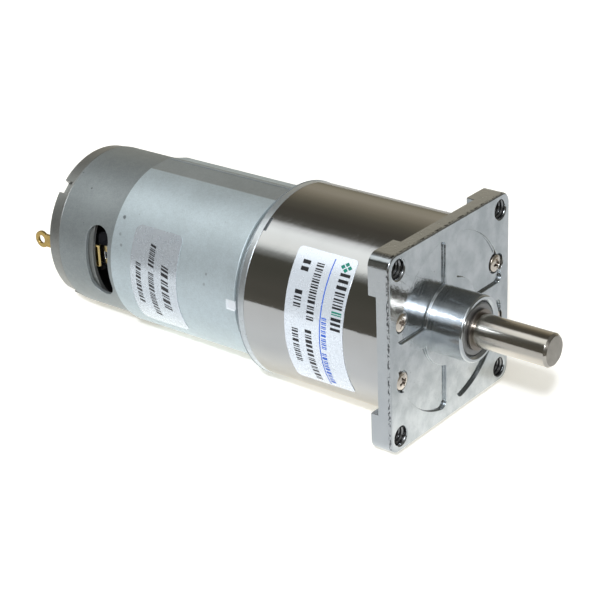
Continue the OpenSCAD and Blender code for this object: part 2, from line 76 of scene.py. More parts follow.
# ---------------------------------------------------------------- node helpers
class Mat:
    """A material under construction; co is the position in millimetres."""

    def __init__(s, name, tree=None):
        if tree is None:
            s.m = bpy.data.materials.new(name)
            s.m.use_nodes = True
            s.t = s.m.node_tree
        else:
            s.m, s.t = None, tree
        s.t.nodes.clear()
        s.co = None

    def n(s, typ, props=None, **ins):
        nd = s.t.nodes.new("ShaderNode" + typ)
        for k, v in (props or {}).items():
            setattr(nd, k, v)
        for k, v in ins.items():
            sock = nd.inputs[int(k[1:])] if k[0] == "i" and k[1:].isdigit() else nd.inputs[k.replace("_", " ")]
            s.put(sock, v)
        return nd

    def put(s, sock, v):
        if isinstance(v, bpy.types.NodeSocket):
            s.t.links.new(v, sock)
        elif isinstance(v, (tuple, list)) and len(v) == 3 and sock.type == "RGBA":
            sock.default_value = (*v, 1)
        else:
            sock.default_value = v

    def coords(s):
        if s.co is None:
            tc = s.n("TexCoord")
            s.co = s.vmath("SCALE", tc.outputs["Object"], scale=1000)
        return s.co

    def vmath(s, op, a, b=None, scale=None):
        nd = s.n("VectorMath", {"operation": op})
        s.put(nd.inputs[0], a)
        if b is not None:
            s.put(nd.inputs[1], b)
        if scale is not None:
            s.put(nd.inputs["Scale"], scale)
        return nd.outputs["Value" if op in ("LENGTH", "DISTANCE", "DOT_PRODUCT") else "Vector"]

    def math(s, op, a, b=None, c=None, clamp=False):
        nd = s.n("Math", {"operation": op, "use_clamp": clamp})
        for i, v in enumerate((a, b, c)):
            if v is not None:
                s.put(nd.inputs[i], v)
        return nd.outputs[0]

    def rng(s, v, a, b, c=0.0, d=1.0, smooth=True):
        nd = s.n("MapRange", {"interpolation_type": "SMOOTHSTEP" if smooth else "LINEAR"})
        for i, x in enumerate((v, a, b, c, d)):
            s.put(nd.inputs[i], x)
        return nd.outputs[0]

    def xyz(s, v=None):
        nd = s.n("SeparateXYZ")
        s.put(nd.inputs[0], v if v is not None else s.coords())
        return nd.outputs

    def vec(s, x, y, z):
        nd = s.n("CombineXYZ")
        for i, v in enumerate((x, y, z)):
            s.put(nd.inputs[i], v)
        return nd.outputs[0]

    def noise(s, scale, detail=3, rough=0.55, stretch=None, vec=None, offset=None, dist=0.0):
        v = vec if vec is not None else s.coords()
        if stretch:
            v = s.vmath("MULTIPLY", v, tuple(stretch))
        if offset:
            v = s.vmath("ADD", v, tuple(offset))
        nd = s.n("TexNoise", {"noise_dimensions": "3D"}, Scale=scale, Detail=detail, Roughness=rough, Distortion=dist)
        s.put(nd.inputs["Vector"], v)
        return nd.outputs[0]

    def voronoi(s, scale, feature="F1", vec=None, rand=1.0, stretch=None):
        v = vec if vec is not None else s.coords()
        if stretch:
            v = s.vmath("MULTIPLY", v, tuple(stretch))
        nd = s.n("TexVoronoi", {"feature": feature}, Scale=scale, Randomness=rand)
        s.put(nd.inputs["Vector"], v)
        return nd

    def mix(s, f, a, b, blend="MIX"):
        nd = s.n("Mix", {"data_type": "RGBA", "blend_type": blend})
        s.put(nd.inputs[0], f)
        s.put(nd.inputs[6], a)
        s.put(nd.inputs[7], b)
        return nd.outputs[2]

    def ramp(s, f, stops, interp="LINEAR"):
        nd = s.n("ValToRGB")
        cr = nd.color_ramp
        cr.interpolation = interp
        while len(cr.elements) > 1:
            cr.elements.remove(cr.elements[-1])
        cr.elements[0].position = stops[0][0]
        cr.elements[0].color = (*stops[0][1], 1)
        for p, c in stops[1:]:
            e = cr.elements.new(p)
            e.color = (*c, 1)
        s.put(nd.inputs[0], f)
        return nd.outputs[0]

    def bump(s, h, strength, dist_mm, normal=None):
        nd = s.n("Bump", Strength=strength, Distance=dist_mm * MM)
        s.put(nd.inputs["Height"], h)
        if normal is not None:
            s.put(nd.inputs["Normal"], normal)
        return nd.outputs[0]

    def shade(s, **ins):
        b = s.n("BsdfPrincipled")
        for k, v in ins.items():
            s.put(b.inputs[k.replace("_", " ")], v)
        o = s.n("OutputMaterial")
        s.t.links.new(b.outputs[0], o.inputs[0])
        return s.m


def times(m, a, b):
    return m.math("MULTIPLY", a, b)


def scratch(m, rot, width=2.4, length=0.10, lo=0.665, hi=0.71, offset=(0, 0, 0), scale=1.0):
    """sparse straight strokes, 0 to 1: peaks of a noise drawn out along one direction"""
    nd = m.n("VectorRotate", {"rotation_type": "EULER_XYZ"})
    m.put(nd.inputs["Vector"], m.coords())
    nd.inputs["Rotation"].default_value = rot
    f = m.noise(scale, 1, 0.4, stretch=(length, length, width), vec=nd.outputs[0], offset=offset)
    return m.rng(f, lo, hi)


def metal(name, col, rough, grain=4.0, grain_amt=0.05, blotch=0.15, blotch_amt=0.06, rough_amt=0.06, bump=0.02,
          bump_scale=3.0, lines=None, lines_amt=0.0, metallic=1.0, tint=None, specks=0.0, aniso=0.0, wear=0.0, spec_tint=None):
    m = Mat(name)
    g = m.noise(grain, 3, 0.6)
    b = m.noise(blotch, 3, 0.5, offset=(13, 7, 3))
    f = m.math("ADD", times(m, m.math("SUBTRACT", g, 0.5), grain_amt * 2), times(m, m.math("SUBTRACT", b, 0.5), blotch_amt * 2))
    dark = tuple(c * 0.0 for c in col)
    base = m.mix(1.0, col, m.n("CombineColor", None, i0=m.math("ADD", f, 1.0), i1=m.math("ADD", f, 1.0), i2=m.math("ADD", f, 1.0)).outputs[0], "MULTIPLY")
    if tint:
        base = m.mix(m.rng(m.noise(blotch * 1.7, 2, 0.5, offset=(3, 31, 9)), 0.45, 0.75), base, tint)
    if specks:
        v = m.voronoi(0.45)
        sp = m.rng(v.outputs["Distance"], 0.03, 0.10, 1.0, 0.0)
        on = m.rng(m.noise(0.6, 1, 0.5, offset=(5, 5, 5)), 0.62, 0.66)
        base = m.mix(times(m, times(m, sp, on), specks), base, (0.05, 0.045, 0.04))
    r = m.math("ADD", rough, times(m, m.math("SUBTRACT", m.noise(blotch * 6, 4, 0.6, offset=(1, 2, 3)), 0.5), rough_amt * 2), clamp=True)
    h = m.noise(bump_scale, 4, 0.55, offset=(9, 1, 4))
    nrm = m.bump(h, 1.0, bump)
    if lines:
        ln = m.noise(1.0, 3, 0.6, stretch=lines)
        nrm = m.bump(ln, 1.0, lines_amt, nrm)
        r = m.math("ADD", r, times(m, m.math("SUBTRACT", ln, 0.5), 0.12), clamp=True)
    kw = dict(Base_Color=base, Metallic=metallic, Roughness=r, Normal=nrm)
    if aniso:
        tg = m.n("Tangent", {"direction_type": "RADIAL", "axis": "X"})
        kw.update(Anisotropic=aniso, Tangent=tg.outputs[0])
    return m.shade(**kw)


# ---------------------------------------------------------------- materials
def mat_cast(name="cast_plate"):
    # bright plated die casting: smooth, with flow marks, light scratches and a few pits
    m = Mat(name)
    x, y, z = m.xyz()
    cloud = m.noise(0.22, 4, 0.6)
    fine = m.noise(1.4, 4, 0.6, offset=(4, 4, 4))
    col = m.mix(m.rng(cloud, 0.3, 0.7), (0.40, 0.432, 0.45), (0.548, 0.577, 0.596))
    col = m.mix(times(m, m.rng(m.noise(3.0, 3, 0.7, offset=(9, 1, 4)), 0.5, 0.75), 0.16), col, (0.25, 0.27, 0.285))
    pit = m.rng(m.noise(2.6, 2, 0.5, offset=(7, 2, 1)), 0.74, 0.79)
    col = m.mix(times(m, pit, 0.55), col, (0.10, 0.10, 0.11))
    sc1 = scratch(m, (0.6, 0, 0), 3.0, 0.16)
    sc2 = scratch(m, (-0.9, 0, 0), 3.4, 0.13, offset=(8, 0, 0))
    sc3 = scratch(m, (1.5, 0, 0), 4.0, 0.2, 0.68, 0.72, offset=(3, 5, 0))
    mask = m.rng(m.noise(0.13, 2, 0.5, offset=(2, 9, 9)), 0.40, 0.56, 0.25, 1.0)
    sc2 = m.math("MAXIMUM", sc2, sc3)
    s = times(m, m.math("MAXIMUM", sc1, sc2), mask)
    rough = m.math("ADD", 0.115, times(m, m.math("SUBTRACT", fine, 0.5), 0.10))
    rough = m.math("ADD", rough, times(m, s, 0.07), clamp=True)
    n1 = m.bump(m.noise(0.35, 3, 0.5, offset=(1, 1, 8)), 1.0, 0.055)
    n2 = m.bump(m.noise(2.2, 4, 0.6), 1.0, 0.010, n1)
    n3 = m.bump(m.math("SUBTRACT", 0, m.math("ADD", times(m, s, 0.4), times(m, pit, 2.0))), 1.0, 0.012, n2)
    return m.shade(Base_Color=col, Metallic=1.0, Roughness=rough, Normal=n3)


def mat_side(name="cast_side"):
    # the casting's sawn-off sides: more worn, with dark flecks along the parting edge
    m = Mat(name)
    x, y, z = m.xyz()
    cloud = m.noise(0.5, 4, 0.6)
    col = m.mix(cloud, (0.50, 0.53, 0.55), (0.60, 0.62, 0.63))
    fleck = m.rng(m.noise(2.2, 3, 0.6, stretch=(1.0, 0.5, 0.5), offset=(3, 1, 1)), 0.47, 0.56)
    wob = m.math("ADD", x, times(m, m.math("SUBTRACT", m.noise(0.5, 3, 0.6, offset=(1, 7, 1)), 0.5), 0.5))
    edge = m.rng(m.math("ABSOLUTE", m.math("ADD", wob, 0.42)), 0.10, 0.34, 1.0, 0.0)
    col = m.mix(times(m, times(m, fleck, edge), 0.93), col, (0.05, 0.05, 0.055))
    brush = m.noise(1.0, 3, 0.6, stretch=(0.25, 5.0, 5.0), offset=(2, 2, 2))
    rough = m.math("ADD", 0.17, times(m, m.math("ADD", m.noise(1.5, 3, 0.5), brush), 0.08))
    n1 = m.bump(m.noise(0.5, 3, 0.5), 1.0, 0.05)
    n2 = m.bump(m.noise(2.0, 4, 0.6, stretch=(0.5, 1, 1)), 1.0, 0.018, n1)
    n2 = m.bump(brush, 1.0, 0.012, n2)
    return m.shade(Base_Color=col, Metallic=1.0, Roughness=rough, Normal=n2)


def mat_turned(name, col, rough=0.16, pitch=9.0, depth=0.004, aniso=0.75):
    m = Mat(name)
    x, y, z = m.xyz()
    ring = m.noise(1.0, 3, 0.7, vec=m.vec(m.math("MULTIPLY", x, pitch), 0.0, 0.0))
    c = m.mix(m.noise(0.5, 3, 0.5), tuple(v * 0.93 for v in col), col)
    r = m.math("ADD", rough, times(m, m.math("SUBTRACT", ring, 0.5), 0.12))
    nb = m.bump(m.noise(0.45, 3, 0.5), 1.0, 0.03)
    nrm = m.bump(ring, 1.0, depth, nb)
    tg = m.n("Tangent", {"direction_type": "RADIAL", "axis": "X"})
    return m.shade(Base_Color=c, Metallic=1.0, Roughness=r, Normal=nrm, Anisotropic=aniso, Anisotropic_Rotation=0.25, Tangent=tg.outputs[0])


def mat_tube(name="nickel_tube"):
    # bright nickel plate on a drawn tube, with fine wipe marks and dust
    m = Mat(name)
    x, y, z = m.xyz()
    cloud = m.noise(0.12, 3, 0.5)
    col = m.mix(cloud, (0.545, 0.545, 0.54), (0.615, 0.615, 0.61))
    sc1 = scratch(m, (0, 0.55, 0.3), 4.6, 0.16, 0.60, 0.70, scale=1.7)
    sc2 = scratch(m, (0, 0.75, 0.15), 5.2, 0.18, 0.61, 0.71, offset=(5, 5, 5), scale=1.7)
    ang = m.math("MULTIPLY", m.math("ARCTAN2", z, y), 180 / math.pi)
    msk = m.rng(m.noise(0.16, 2, 0.5, offset=(1, 6, 2)), 0.40, 0.58, 0.2, 0.8)
    band = times(m, m.rng(ang, 108.0, 118.0), m.rng(ang, 138.0, 150.0, 1.0, 0.0))
    msk = times(m, msk, m.math("ADD", 0.25, times(m, band, 0.75)))
    s = times(m, m.math("MAXIMUM", sc1, sc2), msk)
    dust = m.rng(m.voronoi(1.1).outputs["Distance"], 0.02, 0.05, 1.0, 0.0)
    on = m.rng(m.noise(1.4, 1, 0.5, offset=(3, 8, 5)), 0.60, 0.63)
    dust = times(m, dust, on)
    col = m.mix(times(m, dust, 0.6), col, (0.85, 0.85, 0.85))
    rough = m.math("ADD", 0.045, times(m, m.noise(0.8, 4, 0.6), 0.05))
    rough = m.math("ADD", rough, m.math("ADD", times(m, s, 0.09), times(m, dust, 0.5)), clamp=True)
    n1 = m.bump(m.noise(0.25, 3, 0.5, stretch=(0.3, 1, 1)), 1.0, 0.02)
    n2 = m.bump(s, 1.0, 0.002, n1)
    return m.shade(Base_Color=col, Metallic=1.0, Roughness=rough, Normal=n2, Specular_Tint=(0.62, 0.60, 0.56, 1))


def mat_zinc(name, col, col2, rough=0.36, metallic=1.0, streak=0.0, spots=(), darker_band=None):
    # zinc plated sheet steel: fine grain, faint cloudiness, small stains and nicks
    m = Mat(name)
    x, y, z = m.xyz()
    fine = m.noise(3.2, 3, 0.7)
    mid = m.noise(0.9, 3, 0.6, offset=(8, 3, 3))
    big = m.noise(0.09, 3, 0.5, offset=(2, 5, 5))
    f = m.math("ADD", times(m, fine, 0.55), m.math("ADD", times(m, mid, 0.30), times(m, big, 0.45)))
    c = m.mix(m.rng(f, 0.42, 0.88), col, col2)
    stain = m.rng(m.noise(0.33, 3, 0.6, offset=(11, 1, 6)), 0.66, 0.80)
    c = m.mix(times(m, stain, 0.20), c, tuple(v * 0.6 for v in col))
    nick = m.rng(m.noise(1.1, 2, 0.5, stretch=(1, 1, 1), offset=(4, 14, 2)), 0.755, 0.80)
    c = m.mix(times(m, nick, 0.5), c, (0.06, 0.06, 0.06))
    for sx, sy, sz, sr, amt in spots:
        d = m.vmath("DISTANCE", m.coords(), (sx, sy, sz))
        k = m.rng(m.math("ADD", d, times(m, m.math("SUBTRACT", mid, 0.5), sr * 1.6)), sr * 0.35, sr, 1.0, 0.0)
        c = m.mix(times(m, k, amt), c, (0.07, 0.075, 0.08))
    # darker band between angles a0 and a1 about X: the colour there is multiplied by tone
    if darker_band:
        a0, a1, tone = darker_band
        ang = m.math("MULTIPLY", m.math("ARCTAN2", z, y), 180 / math.pi)
        k = times(m, m.rng(ang, a0 - 0.8, a0 + 0.8), m.rng(ang, a1 - 0.6, a1 + 0.6, 1.0, 0.0))
        c = m.mix(k, c, m.mix(1.0, c, tone, "MULTIPLY"))
    r = m.math("ADD", rough, times(m, m.math("SUBTRACT", m.noise(0.6, 4, 0.6, offset=(6, 6, 1)), 0.5), 0.16), clamp=True)
    n1 = m.bump(m.noise(1.3, 4, 0.65), 1.0, 0.016)
    n1 = m.bump(m.noise(6.0, 2, 0.6), 1.0, 0.004, n1)
    if streak:
        n1 = m.bump(m.noise(1.0, 3, 0.6, stretch=(0.15, 3.0, 3.0)), 1.0, streak, n1)
    return m.shade(Base_Color=c, Metallic=metallic, Roughness=r, Normal=n1)


def mat_plastic(name, col, rough=0.45, grain=6.0, depth=0.01):
    m = Mat(name)
    c = m.mix(m.noise(0.7, 3, 0.5), tuple(v * 0.8 for v in col), tuple(min(1, v * 1.15) for v in col))
    r = m.math("ADD", rough, times(m, m.math("SUBTRACT", m.noise(2.0, 3, 0.5), 0.5), 0.2))
    return m.shade(Base_Color=c, Roughness=r, Normal=m.bump(m.noise(grain, 3, 0.6), 1.0, depth))


def mat_film(name, col, col2, rough=0.22, coat=0.3, wrinkle=0.01, metallic=0.0):
    m = Mat(name)
    c = m.mix(m.noise(0.35, 3, 0.5), col, col2)
    c = m.mix(times(m, m.rng(m.noise(3.0, 3, 0.6), 0.62, 0.8), 0.08), c, tuple(v * 0.7 for v in col))
    r = m.math("ADD", rough, times(m, m.math("SUBTRACT", m.noise(1.2, 3, 0.5), 0.5), 0.12))
    n1 = m.bump(m.noise(0.22, 2, 0.5, offset=(3, 3, 3)), 1.0, wrinkle * 3)
    n1 = m.bump(m.noise(2.5, 3, 0.5), 1.0, wrinkle * 0.3, n1)
    return m.shade(Base_Color=c, Roughness=r, Normal=n1, Metallic=metallic, Coat_Weight=coat, Coat_Roughness=0.12)


CAST = mat_cast()
SIDE = mat_side()
BOSS = mat_turned("boss_turned", (0.56, 0.59, 0.61), 0.20, 7.0, 0.005, 0.55)
TUBE = mat_tube()
SHAFT = mat_turned("shaft_ground", (0.58, 0.545, 0.49), 0.17, 11.0, 0.002, 0.7)
SHAFT_END = metal("shaft_end_face", (0.40, 0.375, 0.335), 0.42, grain=5, grain_amt=0.12, bump=0.01, bump_scale=5, blotch=0.7, blotch_amt=0.15)
CAN = mat_zinc("can_zinc", (0.27, 0.295, 0.295), (0.35, 0.38, 0.38), 0.50, metallic=0.66, streak=0.004,
               spots=((-86.2, -11.5, 13.75, 0.35, 0.7), (-91.0, -8.9, 15.5, 0.3, 0.6)))
# pale metal for the floor of the ring's notch: a painted highlight where the notch catches the light
RING_NOTCH_HIGHLIGHT = metal("ring_notch_painted_highlight", (0.80, 0.83, 0.85), 0.42, grain=3, grain_amt=0.06, bump=0.03, metallic=0.4)
RING = mat_zinc("ring_zinc", (0.49, 0.555, 0.57), (0.61, 0.69, 0.715), 0.50, metallic=0.62, darker_band=(78.0, 102.0, (0.665, 0.635, 0.615)),
                spots=((-73.4, -15.0, 11.0, 0.55, 0.75), (-72.5, -17.7, 5.7, 0.45, 0.4), (-73.3, -16.9, 7.8, 0.4, 0.35),
                       (-48.4, -17.95, 5.0, 0.35, 0.45), (-48.8, -18.4, 2.85, 0.5, 0.35)))
CAP = mat_zinc("cap_steel", (0.27, 0.275, 0.26), (0.35, 0.355, 0.34), 0.40, metallic=0.8, streak=0.003)
PLATE = mat_zinc("rear_plate_zinc", (0.56, 0.595, 0.61), (0.70, 0.735, 0.75), 0.30, metallic=0.8)
# dark metal for the corner holes' walls and threads: painted shade inside the holes
HOLE = metal("hole_wall_painted_shade", (0.09, 0.09, 0.095), 0.35, grain=4, grain_amt=0.2, bump=0.02)
HOLE_THREAD = metal("hole_thread_painted_shade", (0.24, 0.245, 0.25), 0.2, grain=4, grain_amt=0.1, bump=0.01)
BUSH = metal("bush_sintered", (0.26, 0.26, 0.255), 0.42, grain=7, grain_amt=0.2, bump=0.012, bump_scale=6, metallic=0.9)
BRONZE = metal("bronze_sintered", (0.42, 0.31, 0.17), 0.38, grain=7, grain_amt=0.2, bump=0.012, bump_scale=6)
CLIP = metal("clip_steel", (0.24, 0.215, 0.19), 0.3, grain=3, grain_amt=0.08, bump=0.006)
SCREW = metal("screw_nickel", (0.66, 0.60, 0.53), 0.2, grain=2.5, grain_amt=0.06, bump=0.01, bump_scale=2.5, blotch=0.6, blotch_amt=0.1)
# dark metal for the screws' cross recesses and the undersides of the heads: painted shade
SCREW_RECESS_SHADE = metal("screw_recess_painted_shade", (0.26, 0.215, 0.175), 0.3, grain=3, grain_amt=0.15, bump=0.01)
SPRING = metal("spring_wire", (0.62, 0.62, 0.62), 0.22, grain=5, grain_amt=0.05, bump=0.004, lines=(0.4, 6, 6), lines_amt=0.003)
GEAR = metal("gear_sintered", (0.42, 0.42, 0.43), 0.34, grain=6, grain_amt=0.12, bump=0.01, bump_scale=5, specks=0.3)
GREY = metal("steel_ground", (0.62, 0.62, 0.63), 0.2, grain=4, grain_amt=0.05, bump=0.003, lines=(8, 0.4, 0.4), lines_amt=0.003)
# a lighter copy of the brass for the strip inside the slot: painted light, as little real light reaches in there
BRASS_PAINTED_LIGHT = metal("brass_strip_painted_light", (0.98, 0.74, 0.30), 0.4, grain=3, grain_amt=0.1, bump=0.008, metallic=0.45)
BRASS = metal("brass_strip", (0.60, 0.42, 0.145), 0.25, grain=3, grain_amt=0.1, blotch=0.5, blotch_amt=0.14, bump=0.008, tint=(0.50, 0.34, 0.13))
TINNED = metal("tinned_brass", (0.66, 0.68, 0.70), 0.2, grain=3, grain_amt=0.06, bump=0.012, bump_scale=2)
COPPER = metal("copper_wire", (0.55, 0.20, 0.07), 0.28, grain=3, grain_amt=0.12, bump=0.02, lines=(0.5, 4, 4), lines_amt=0.03)
LAM = metal("core_laminations", (0.27, 0.28, 0.29), 0.42, grain=4, grain_amt=0.1, bump=0.006, lines=(2.0, 0.1, 0.1), lines_amt=0.02)
FERRITE = mat_plastic("ferrite", (0.055, 0.053, 0.055), 0.5, 5, 0.012)
CARBON = mat_plastic("carbon_brush", (0.045, 0.045, 0.048), 0.42, 8, 0.012)
BLACK = mat_plastic("card_black", (0.022, 0.022, 0.024), 0.4, 5, 0.008)
FIBRE = mat_plastic("fibre_washer", (0.72, 0.68, 0.58), 0.55, 6, 0.008)
WHITE = mat_film("label_white", (0.84, 0.90, 0.97), (0.90, 0.945, 0.99), 0.26, 0.25, 0.004, metallic=0.38)
SILVER = mat_film("label_silver", (0.64, 0.69, 0.74), (0.70, 0.74, 0.77), 0.26, 0.3, 0.006, metallic=0.58)
INK = mat_plastic("ink_black", (0.018, 0.018, 0.02), 0.35, 6, 0.001)
INK_G = mat_plastic("ink_green", (0.005, 0.22, 0.15), 0.35, 6, 0.001)
INK_B = mat_plastic("ink_blue", (0.03, 0.13, 0.62), 0.35, 6, 0.001)


# ---------------------------------------------------------------- mesh helpers
def make(name, bm):
    bmesh.ops.recalc_face_normals(bm, faces=bm.faces)
    me = bpy.data.meshes.new(name)
    bm.to_mesh(me)
    bm.free()
    o = bpy.data.objects.new(name, me)
    bpy.context.scene.collection.objects.link(o)
    return o


def apply(o):
    dg = bpy.context.evaluated_depsgraph_get()
    dg.update()
    me = bpy.data.meshes.new_from_object(o.evaluated_get(dg))
    o.modifiers.clear()
    o.data = me
    return o


def rounded(pts, n=4):
    """closed profile of (x, r, fillet) corners -> points with arcs"""
    out = []
    k = len(pts)
    for i, (x, r, f) in enumerate(pts):
        p = Vector((x, r))
        if f <= 0:
            out.append((x, r))
            continue
        a = Vector(pts[i - 1][:2]) - p
        b = Vector(pts[(i + 1) % k][:2]) - p
        la, lb = a.length, b.length
        a.normalize(), b.normalize()
        half = a.angle(b) / 2
        t = min(f / math.tan(half), la * 0.49, lb * 0.49)
        rad = t * math.tan(half)
        c = p + (a + b).normalized() * (rad / math.sin(half))
        s, e = p + a * t - c, p + b * t - c
        ang = s.angle(e)
        sign = 1 if s.x * e.y - s.y * e.x > 0 else -1
        for j in range(n + 1):
            q = ang * j / n * sign
            out.append((c.x + s.x * math.cos(q) - s.y * math.sin(q), c.y + s.x * math.sin(q) + s.y * math.cos(q)))
    return out


def lathe(name, prof, seg=192, cy=0.0, cz=0.0):
    """revolve a closed profile of (x, r) in mm about the X line through cy, cz"""
    bm = bmesh.new()
    rings = []
    for x, r in prof:
        if r < 1e-5:
            v = bm.verts.new((x * MM, cy * MM, cz * MM))
            rings.append([v] * seg)
        else:
            rings.append([bm.verts.new((x * MM, (cy + r * math.cos(TAU * i / seg)) * MM, (cz + r * math.sin(TAU * i / seg)) * MM)) for i in range(seg)])
    k = len(rings)
    for j in range(k):
        A, B = rings[j], rings[(j + 1) % k]
        for i in range(seg):
            q = [A[i], A[(i + 1) % seg], B[(i + 1) % seg], B[i]]
            u = []
            for v in q:
                if v not in u:
                    u.append(v)
            if len(u) >= 3:
                try:
                    bm.faces.new(u)
                except ValueError:
                    pass
    return make(name, bm)


def prism(name, outline, x0, x1, taper=1.0, cy=0.0, cz=0.0):
    """outline of (y, z) in mm, extruded from x0 to x1 and scaled by taper at x1"""
    bm = bmesh.new()
    a = [bm.verts.new((x0 * MM, (cy + y) * MM, (cz + z) * MM)) for y, z in outline]
    b = [bm.verts.new((x1 * MM, (cy + y * taper) * MM, (cz + z * taper) * MM)) for y, z in outline]
    bm.faces.new(a)
    bm.faces.new(list(reversed(b)))
    for i in range(len(a)):
        j = (i + 1) % len(a)
        bm.faces.new([a[i], b[i], b[j], a[j]])
    return make(name, bm)


def cut(o, c, op="DIFFERENCE"):
    md = o.modifiers.new("b", "BOOLEAN")
    md.operation, md.solver, md.object = op, "EXACT", c
    apply(o)
    bpy.data.objects.remove(c)
    return o


def cad(node, name=None, dissolve=0.4):
    """a working copy of a CAD node's mesh, with its flat triangles joined"""
    me = NODES[node].data.copy()
    o = bpy.data.objects.new(name or node + "_v", me)
    bpy.context.scene.collection.objects.link(o)
    me.materials.clear()
    bm = bmesh.new()
    bm.from_mesh(me)
    bmesh.ops.remove_doubles(bm, verts=bm.verts, dist=2e-6)
    bmesh.ops.dissolve_limit(bm, angle_limit=math.radians(dissolve), verts=bm.verts, edges=bm.edges)
    bm.to_mesh(me)
    bm.free()
    if me.has_custom_normals:
        me.free_custom_normals() if hasattr(me, "free_custom_normals") else None
    for a in ("custom_normal", "sharp_face"):
        if a in me.attributes:
            me.attributes.remove(me.attributes[a])
    return o


def folded(me, least=0.02):
    """flat faces that a bevel has folded over themselves: their normal and their box, in mm"""
    me.calc_loop_triangles()
    area = {}
    for t in me.loop_triangles:
        a, b, c = (me.vertices[k].co for k in t.vertices)
        n = (b - a).cross(c - a)
        p = me.polygons[t.polygon_index]
        if n.dot(p.normal) < 0:
            area[p.index] = area.get(p.index, 0) + n.length / 2 * 1e6
    res = []
    for k, v in area.items():
        if v > least:
            p = me.polygons[k]
            co = [me.vertices[q].co * 1000 for q in p.vertices]
            res.append((p.normal.copy(), co[0], [min(q[w] for q in co) - 0.4 for w in range(3)], [max(q[w] for q in co) + 0.4 for w in range(3)]))
    return res


def bevel(o, width, seg=3, angle=32, weight=None):
    """round the edges sharper than angle; weight(mid) in mm gives a share of width. Edges
    of a face that would fold over itself are rounded less until it no longer does"""
    src = o.data.copy()
    lim = math.radians(angle)
    share = {}
    for attempt in range(7):
        bm = bmesh.new()
        bm.from_mesh(src)
        lay = bm.edges.layers.float.get("bevel_weight_edge") or bm.edges.layers.float.new("bevel_weight_edge")
        bm.edges.ensure_lookup_table()
        if attempt:  # this edge belongs to a face that folded last time
            for e in bm.edges:
                mid = (e.verts[0].co + e.verts[1].co) / 2 * 1000
                for n, at, lo_, hi_ in bad:
                    if all(lo_[w] <= mid[w] <= hi_[w] for w in range(3)) and any(
                            f.normal.dot(n) > 0.99 and abs((f.verts[0].co * 1000 - at).dot(n)) < 0.05 for f in e.link_faces):
                        share[e.index] = share.get(e.index, 1.0) * (0.5 if attempt < 6 else 0.0)
                        break
        for e in bm.edges:
            w = 0.0
            if len(e.link_faces) == 2 and e.calc_face_angle(0) > lim:
                mid = (e.verts[0].co + e.verts[1].co) / 2 * 1000
                w = (1.0 if weight is None else weight(mid)) * share.get(e.index, 1.0)
            e[lay] = w
        me = bpy.data.meshes.new(o.name)
        bm.to_mesh(me)
        bm.free()
        o.data = me
        md = o.modifiers.new("bev", "BEVEL")
        md.limit_method, md.width, md.segments = "WEIGHT", width * MM, seg
        md.use_clamp_overlap = False
        md.miter_outer = "MITER_SHARP"
        apply(o)
        bad = folded(o.data)
        if not bad:
            break
    if bad:
        print("FOLDED", o.name, len(bad))
    elif attempt:
        print("BEVEL", o.name, attempt)
    return o


def smooth(o, angle=50, weighted=True):
    me = o.data
    bm = bmesh.new()
    bm.from_mesh(me)
    lim = math.radians(angle)
    for f in bm.faces:
        f.smooth = True
    for e in bm.edges:
        e.smooth = not (len(e.link_faces) == 2 and e.calc_face_angle(0) > lim)
    bm.to_mesh(me)
    bm.free()
    if weighted:
        md = o.modifiers.new("wn", "WEIGHTED_NORMAL")
        md.keep_sharp = True
        md.weight = 80
        apply(o)
    return o


def put(o, mats, body, slot, *nodes, by=None):
    o.data.materials.clear()
    for mt in mats if isinstance(mats, (list, tuple)) else [mats]:
        o.data.materials.append(mt)
    if by:
        for p in o.data.polygons:
            p.material_index = by(p.center * 1000, p.normal)
    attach(o, body)
    if nodes:
        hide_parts(*nodes)
    return o


def hyp(y, z):
    return math.hypot(y, z)


# ---------------------------------------------------------------- gearbox
lo, hi = box("front_flange")
half, boss_x, post = hi[1], hi[0], 4.8
t_lo, t_hi = box("gearbox_tube")
tube_r = t_hi[1]
b_lo, b_hi = box("front_bush")

# the flange: holes opened to their thread's outside so that the thread can stand in them
H, HR = 17.75, 1.65
fl = cad("front_flange", "flange_body")
for v in fl.data.vertices:
    p = v.co * 1000
    for a in (-H, H):
        for b in (-H, H):
            d = hyp(p.y - a, p.z - b)
            if abs(d - HR) < 0.03:
                s = 1.93 / d
                v.co.y = (a + (p.y - a) * s) * MM
                v.co.z = (b + (p.z - b) * s) * MM


def flange_weight(p):
    r = hyp(p.y, p.z)
    dh = min(hyp(p.y - a, p.z - b) for a in (-H, H) for b in (-H, H))
    ds = min(hyp(p.y - a, p.z - b) for a in (-16.64, 16.64) for b in (-6.28, 6.28))
    cy, cz = abs(p.y) - (half - 2.6), abs(p.z) - (half - 2.6)
    rim = hyp(max(cy, 0), max(cz, 0)) > 2.52
    if rim and p.x > -0.1:
        return 1.0
    if p.x < -4.7:
        return 0.5 if rim else 0.3
    if p.x < -1.0:
        return 0.0
    if dh < 2.5 or ds < 2.3:
        return 0.25
    if r < 7.2 and p.x > 3:
        return 0.3
    if r < 7.2:
        return 0.0
    if p.x > -0.05:
        return 0.45
    return 0.28


bevel(fl, 0.42, 3, 32, flange_weight)
smooth(fl, 48)


def flange_mat(c, n):
    r = hyp(c.y, c.z)
    if r < 7.05 and c.x > 0.02:
        return 2
    # the corner holes' walls take the dark painted-shade metal
    if c.x < -0.35 and min(hyp(c.y - a, c.z - b) for a in (-H, H) for b in (-H, H)) < 1.96:
        return 3
    if max(abs(c.y), abs(c.z)) > half - 0.35 and abs(n.x) < 0.8:
        return 1
    return 0


put(fl, [CAST, SIDE, BOSS, HOLE], "housing", "zinc_plated_casting", "front_flange", by=flange_mat)

